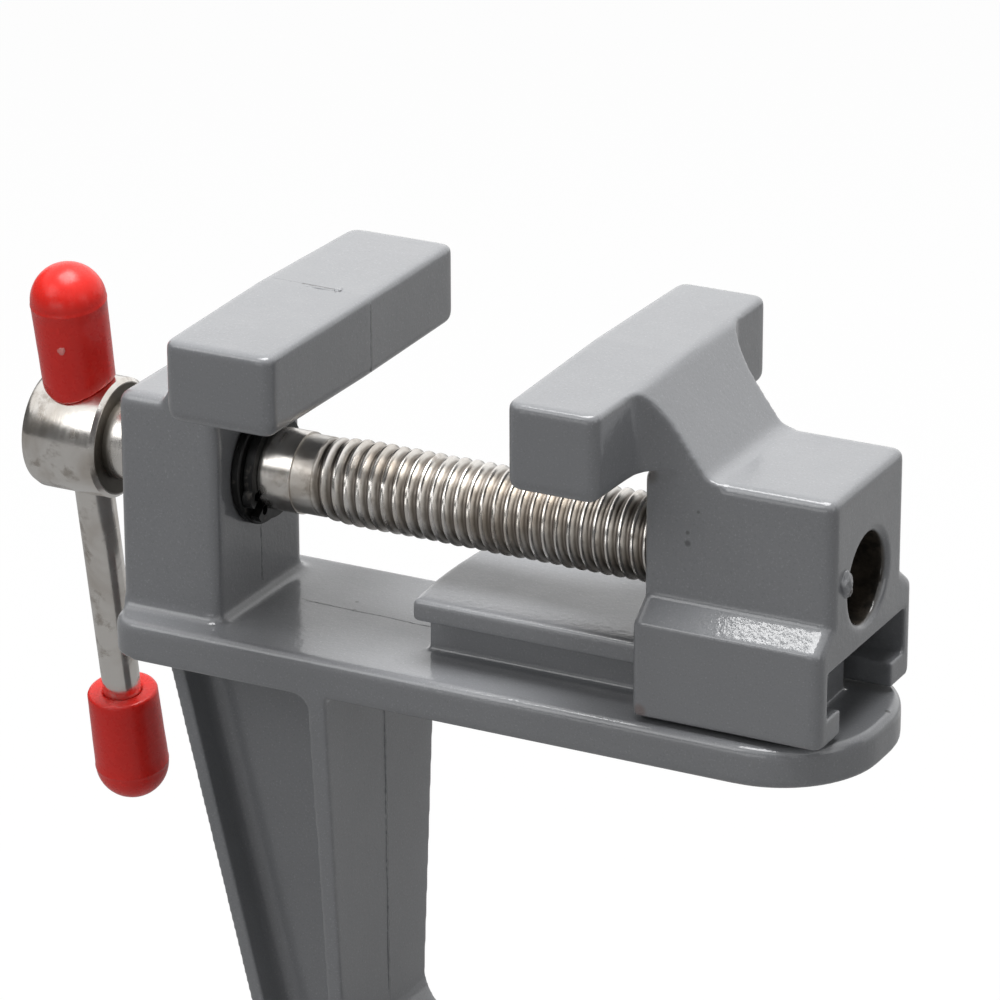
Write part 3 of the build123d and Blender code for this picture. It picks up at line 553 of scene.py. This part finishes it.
bm = bmesh.new()
add_thread(bm, THREAD_START_X, THREAD_END_X, COLLAR_RADIUS, main_place)
add_part_of(bm, "main_screw", THREAD_START_X, 1, main_place)
finish_edges(bm)
place_mesh("main_screw_threaded", bm, SCREW_METAL, "screw", "main_screw")

bm = bmesh.new()
add_thread(bm, CLAMP_COLLAR_TOP, CLAMP_NECK_Z + 0.01, SHANK_RADIUS, clamp_place)
add_part_of(bm, "clamp_screw", CLAMP_COLLAR_TOP, 1, clamp_place)
add_part_of(bm, "clamp_screw", CLAMP_NECK_Z, -1, clamp_place)
finish_edges(bm)
place_mesh("clamp_screw_threaded", bm, CLAMP_METAL, "table_screw", "clamp_screw")

# ------------------------------------------------------------------ moulded caps
CAP_LENGTH = 11.8
CAP_RIM_RADIUS = 3.4
CAP_DOME_RADIUS = 3.55
CAP_HOLE_RADIUS = 1.87
CAP_HOLE_DEPTH = 9.6
CAP_STEPS = 72
CAP_RIM_BAND = 0.26
CAP_PARTING_RING = 0.035
CAP_UNEVEN = 0.006
SADDLE_FADE = 5.0
SEAT_GAP = 0.06
RIM_LIFT = 0.05


def cap_outline():
    """Outline (radius, height over the rim) from the hole's bottom over the rim to the top."""
    dome_start = CAP_LENGTH - CAP_DOME_RADIUS
    points = [(0.0, CAP_HOLE_DEPTH), (CAP_HOLE_RADIUS, CAP_HOLE_DEPTH), (CAP_HOLE_RADIUS, 0.25)]
    points += [(CAP_HOLE_RADIUS + 0.12, 0.06), (CAP_HOLE_RADIUS + 0.35, 0.0)]
    points += [(CAP_RIM_RADIUS - 0.35, 0.0), (CAP_RIM_RADIUS - 0.10, 0.06), (CAP_RIM_RADIUS, CAP_RIM_BAND)]
    for i in range(1, 8):
        t = i / 8
        radius = CAP_RIM_RADIUS + (CAP_DOME_RADIUS - CAP_RIM_RADIUS) * t
        points.append((radius, CAP_RIM_BAND + (dome_start - 0.56) * t))
    ring_radius = CAP_DOME_RADIUS + CAP_PARTING_RING
    points += [(CAP_DOME_RADIUS, dome_start - 0.20), (ring_radius, dome_start - 0.12)]
    points += [(ring_radius, dome_start - 0.02), (CAP_DOME_RADIUS - 0.01, dome_start + 0.06)]
    for i in range(1, 14):
        t = math.radians(90 * i / 14)
        points.append((CAP_DOME_RADIUS * math.cos(t), dome_start + CAP_DOME_RADIUS * math.sin(t)))
    points.append((0.0, CAP_LENGTH))
    return points


def moulded_cap(name, node, body, rim, axis, side, seed, saddle=0.0):
    """End cap lathed about its axis. A saddle radius bends its rim over the screw's head."""
    up = Vector(axis).normalized()
    side = Vector(side).normalized()
    across = up.cross(side)
    bm = bmesh.new()
    rings = []
    for radius, height in cap_outline():
        if radius == 0.0:
            rings.append([bm.verts.new((Vector(rim) + up * height) * MM)])
            continue
        ring = []
        for j in range(CAP_STEPS):
            turn = 2 * math.pi * j / CAP_STEPS
            h = height
            if saddle:
                reach = min(abs(radius * math.sin(turn)), saddle - 0.2)
                drop = saddle - math.sqrt(saddle * saddle - reach * reach)
                h -= drop * max(0.0, 1 - height / SADDLE_FADE)
            spot = Vector((radius * math.cos(turn), radius * math.sin(turn), height * 0.5 + seed))
            wobble = 1 + CAP_UNEVEN * noise.noise(spot)
            p = Vector(rim) + up * h
            p += (side * math.cos(turn) + across * math.sin(turn)) * radius * wobble
            ring.append(bm.verts.new(p * MM))
        rings.append(ring)
    for low, high in zip(rings, rings[1:]):
        for j in range(CAP_STEPS):
            k = (j + 1) % CAP_STEPS
            if len(low) == 1:
                bm.faces.new((low[0], high[j], high[k]))
            elif len(high) == 1:
                bm.faces.new((low[j], high[0], low[k]))
            else:
                bm.faces.new((low[j], high[j], high[k], low[k]))
    finish_edges(bm, 60)
    place_mesh(name, bm, RED, body, node)


TILT = math.radians(10.0)
BAR_UP = Vector((0, -math.sin(TILT), math.cos(TILT)))
head_centre = Vector((HEAD_X, 0, SCREW_Z))
upper_rim = head_centre + BAR_UP * (HEAD_RADIUS + RIM_LIFT)
lower_rim = head_centre - BAR_UP * LOWER_CAP_REACH
head_saddle = HEAD_RADIUS + SEAT_GAP
moulded_cap("cap_upper", "main_cap_upper", "handle", upper_rim, BAR_UP, (1, 0, 0), 1.0, head_saddle)
moulded_cap("cap_lower", "main_cap_lower", "handle", lower_rim, -BAR_UP, (1, 0, 0), 2.0)
CLAMP_TURN = math.radians(28.0)
clamp_way = Vector((math.cos(CLAMP_TURN), math.sin(CLAMP_TURN), 0))
clamp_centre = Vector((0, 0, CLAMP_BAR_Z))
for name, node, way, seed in (
    ("cap_table_a", "clamp_cap_a", clamp_way, 3.0),
    ("cap_table_b", "clamp_cap_b", -clamp_way, 4.0),
):
    moulded_cap(name, node, "table_handle", clamp_centre + way * CLAMP_CAP_REACH, way, (0, 0, 1), seed)

# ------------------------------------------------------------------ small cast and worn details
SEAM_WANDER = 0.12
SEAM_SINK = 0.05
SEAM_DEPTH = 0.06


def smooth_piece(name, mesh, mat, body):
    mesh.polygons.foreach_set("use_smooth", [True] * len(mesh.polygons))
    add_piece(name, mesh, mat, body)


def seam(name, start, end, normal, width, height, seed, steps):
    """Raised parting line left by the casting dies, sunk slightly into the skin."""
    a, b, n = Vector(start), Vector(end), Vector(normal).normalized()
    along = (b - a).normalized()
    side = n.cross(along).normalized()
    verts, faces = [], []
    ring = 7
    for i in range(steps + 1):
        t = i / steps
        p = a.lerp(b, t)
        q = p * 0.9 + Vector((seed, 0, 0))
        w = width * (0.75 + 0.6 * noise.noise(q * 1.7)) / 2
        h = height * (0.8 + 0.9 * noise.noise(q * 2.9 + Vector((0, 7, 0))))
        h *= min(1.0, 10 * t, 10 * (1 - t)) + 0.02
        off = side * SEAM_WANDER * noise.noise(q * 0.35 + Vector((0, 0, 3)))
        for k in range(ring):
            u = -1 + 2 * k / (ring - 1)
            rise = max(0.0, 1 - u * u) * h - SEAM_SINK * abs(u) ** 3
            verts.append(p + off + side * (u * w) + n * rise)
        if i:
            for k in range(ring - 1):
                x, y = (i - 1) * ring + k, i * ring + k
                faces.append((x, x + 1, y + 1, y))
    under = len(verts)
    for i in range(steps + 1):
        p = a.lerp(b, i / steps)
        verts.append(p - n * (SEAM_SINK + SEAM_DEPTH))
    for i in range(1, steps + 1):
        x, y = (i - 1) * ring, i * ring
        faces.append((y, under + i, under + i - 1, x))
        faces.append((x + ring - 1, under + i - 1, under + i, y + ring - 1))
    faces.append(tuple(range(ring - 1, -1, -1)) + (under,))
    last = steps * ring
    faces.append(tuple(range(last, last + ring)) + (under + steps,))
    mesh = bpy.data.meshes.new(name)
    mesh.from_pydata([Vector(v) * MM for v in verts], [], faces)
    mesh.update()
    smooth_piece(name, mesh, PAINT_PLAIN, "frame")


def blob(name, centre, radii, mat, body, slot, seed, rough):
    """Small uneven lump. Centre and radii in millimetres."""
    bm = bmesh.new()
    bmesh.ops.create_icosphere(bm, subdivisions=4, radius=1.0)
    for v in bm.verts:
        k = 1 + rough * noise.noise(v.co * 1.6 + Vector((seed, seed, 0)))
        p = Vector((v.co.x * radii[0], v.co.y * radii[1], v.co.z * radii[2])) * k
        v.co = (p + Vector(centre)) * MM
    mesh = bpy.data.meshes.new(name)
    bm.to_mesh(mesh)
    bm.free()
    smooth_piece(name, mesh, mat, body)


seam("seam_column", (-38.5, 0.05, 5.3), (-38.5, 0.05, 11.0), (1, 0, 0), 0.26, 0.05, 1.0, 60)
seam("seam_deck", (-34.8, 0.86, 3.8), (-19.6, 0.42, 3.8), (0, 0, 1), 0.24, 0.04, 2.0, 120)
seam("seam_leg", (-26.0, 0.45, -2.2), (-26.0, 0.80, -35.5), (1, 0, 0), 0.34, 0.11, 3.0, 220)
seam("seam_fixed_top", (-37.6, 1.05, 34.74), (-28.6, 0.65, 34.78), (0, 0, 1), 0.36, 0.045, 6.0, 80)
seam("seam_fixed_face", (-27.0, 0.6, 34.2), (-27.0, 0.6, 27.6), (1, 0, 0), 0.22, 0.03, 7.0, 60)

gate_ridge = ((-32.0, 0.56, 34.74), (1.75, 0.24, 0.13))
gate_lip = ((-30.45, 0.95, 34.74), (0.34, 0.55, 0.19))
burr = ((22.35, -5.12, 18.2), (0.62, 0.92, 1.25))
gate_dot = ((-56.28, -5.14, 26.70), (0.42, 0.16, 0.42))
burr_face = ((22.78, -5.0, 17.75), (0.20, 0.42, 0.5))
blob("gate_scar_ridge", *gate_ridge, PAINT_PLAIN, "frame", "casting_paint", 1.3, 0.35)
blob("gate_scar_lip", *gate_lip, PAINT_PLAIN, "frame", "casting_paint", 2.1, 0.5)
blob("bore_burr", *burr, PAINT_PLAIN, "jaw", "casting_paint", 3.7, 0.25)
blob("cap_gate_dot", *gate_dot, RED_GATE, "handle", "red_cap", 5.2, 0.25)
blob("bore_burr_face", *burr_face, PAINT_RUSTY, "jaw", "casting_paint", 4.4, 0.4)

# ------------------------------------------------------------------ floor, lights, camera
FLOOR_SIZE = 3.0
FLOOR_GAP = 0.0004
# The floor's glow as the camera sees it and in reflections, and the backdrop's in reflections.
FLOOR_WHITE = 1.12
FLOOR_GLOSS = 0.62
BACKDROP_GLOSS = 1.2
# The rest of the floor is paper, which takes the vise's shadow.
FLOOR_GLOW_SHARE = 0.85
floor_z = cad_low[2] - FLOOR_GAP


def plane_mesh(name, size):
    bm = bmesh.new()
    bmesh.ops.create_grid(bm, x_segments=1, y_segments=1, size=size)
    mesh = bpy.data.meshes.new(name)
    bm.to_mesh(mesh)
    bm.free()
    return mesh


def surface_of(tree):
    return [n for n in tree.nodes if n.type == "OUTPUT_MATERIAL"][0].inputs["Surface"]


def background_rays(tree):
    """1 for the rays that see the white surroundings, and 1 for the reflected ones of these."""
    rays = tree.nodes.new("ShaderNodeLightPath").outputs
    seen = math_node(tree, "MAXIMUM", rays["Is Camera Ray"], rays["Is Glossy Ray"])
    return math_node(tree, "MAXIMUM", seen, rays["Is Transmission Ray"]), rays["Is Glossy Ray"]


def mix_shaders(tree, share, first, second):
    mixer = tree.nodes.new("ShaderNodeMixShader")
    link(tree, share, mixer.inputs["Fac"])
    link(tree, first, mixer.inputs[1])
    link(tree, second, mixer.inputs[2])
    return mixer.outputs["Shader"]


def aim(o, where, target):
    o.location = where
    o.rotation_euler = (Vector(target) - Vector(where)).to_track_quat("-Z", "Y").to_euler()


floor_paper, tree, b = new_material("floor_paper")
floor = add_object("floor", plane_mesh("floor", FLOOR_SIZE), floor_paper)
floor.location = (0, 0, floor_z)
b.inputs["Base Color"].default_value = (0.35, 0.35, 0.35, 1)
b.inputs["Roughness"].default_value = 0.9
b.inputs["Specular IOR Level"].default_value = 0.1
seen, glossy = background_rays(tree)
glow = tree.nodes.new("ShaderNodeEmission")
glow.inputs["Color"].default_value = (1, 1, 1, 1)
link(tree, remap(tree, glossy, 0.0, 1.0, FLOOR_WHITE, FLOOR_GLOSS), glow.inputs["Strength"])
share = math_node(tree, "MULTIPLY", seen, FLOOR_GLOW_SHARE)
paper = mix_shaders(tree, share, b.outputs["BSDF"], glow.outputs["Emission"])
# From below the floor can be seen through, so that the vise's underside shows.
clear = tree.nodes.new("ShaderNodeBsdfTransparent")
from_below = tree.nodes.new("ShaderNodeNewGeometry").outputs["Backfacing"]
link(tree, mix_shaders(tree, from_below, paper, clear.outputs["BSDF"]), surface_of(tree))


def card(name, where, target, size, level):
    """A grey studio card that shows in reflections only."""
    m, t, p = new_material(name)
    o = add_object(name, plane_mesh(name, 0.5), m)
    o.scale = (size[0], size[1], 1)
    aim(o, where, target)
    e = t.nodes.new("ShaderNodeEmission")
    e.inputs["Color"].default_value = (level, level, level, 1)
    link(t, e.outputs["Emission"], surface_of(t))
    t.nodes.remove(p)
    o.visible_camera = False
    o.visible_diffuse = False
    o.visible_shadow = False
    o.visible_transmission = False


card("card_front", (-0.25, -0.95, 0.12), (-0.05, 0, 0.02), (2.2, 0.75), 0.13)
card("card_left", (-1.0, -0.1, 0.12), (0, -0.1, 0.02), (1.7, 0.75), 0.13)
card("card_right", (1.0, -0.2, 0.12), (0, -0.2, 0.02), (1.5, 0.75), 0.13)
card("card_below", (0, -0.25, floor_z + 0.0002), (0, -0.25, -1), (1.6, 1.0), 0.40)

world = bpy.data.worlds.new("studio")
bpy.context.scene.world = world
world.use_nodes = True
wt = world.node_tree
wt.nodes.clear()
wout = wt.nodes.new("ShaderNodeOutputWorld")
white = wt.nodes.new("ShaderNodeBackground")
white.inputs["Color"].default_value = (1, 1, 1, 1)
soft = wt.nodes.new("ShaderNodeBackground")
soft.inputs["Color"].default_value = (0.05, 0.05, 0.051, 1)
seen, glossy = background_rays(wt)
link(wt, remap(wt, glossy, 0.0, 1.0, 1.0, BACKDROP_GLOSS), white.inputs["Strength"])
sky = mix_shaders(wt, seen, soft.outputs["Background"], white.outputs["Background"])
link(wt, sky, wout.inputs["Surface"])


def area(name, where, size, power):
    """A softbox that faces the origin."""
    data = bpy.data.lights.new(name, "AREA")
    data.shape = "RECTANGLE"
    data.size, data.size_y = size
    data.energy = power
    o = bpy.data.objects.new(name, data)
    aim(o, where, (0, 0, 0))
    bpy.context.scene.collection.objects.link(o)


area("top_softbox", (-0.04, 0.02, 0.62), (0.40, 0.38), 4.9)
area("front_low_softbox", (-0.1, -0.85, -0.05), (0.6, 0.4), 1.15)
area("front_high_softbox", (-0.36, -0.55, 0.45), (0.4, 0.4), 1.0)
area("right_softbox", (0.85, -0.15, 0.22), (0.4, 0.4), 0.8)
area("back_softbox", (0.0, 0.5, 0.6), (0.5, 0.5), 0.35)

# The camera's place and axes, fitted to the casting's straight edges.
CAMERA_LENS = 197.676
CAMERA_PLACE = (0.1957571, -0.4073559, 0.2003113)
CAMERA_RIGHT = (0.8897577, 0.4564273, -0.0023341)
CAMERA_UP = (-0.1670425, 0.3303824, 0.9289480)
CAMERA_BACK = (0.4247683, -0.8261487, 0.3702030)
cam_data = bpy.data.cameras.new("camera")
cam_data.sensor_width = 36.0
cam_data.lens = CAMERA_LENS
cam_data.clip_start = 0.01
camera = bpy.data.objects.new("camera", cam_data)
view = Matrix.Identity(4)
for column, axis in enumerate((CAMERA_RIGHT, CAMERA_UP, CAMERA_BACK, CAMERA_PLACE)):
    for row in range(3):
        view[row][column] = axis[row]
camera.matrix_world = view
bpy.context.scene.collection.objects.link(camera)
bpy.context.scene.camera = camera
bpy.context.scene.view_settings.view_transform = "Standard"
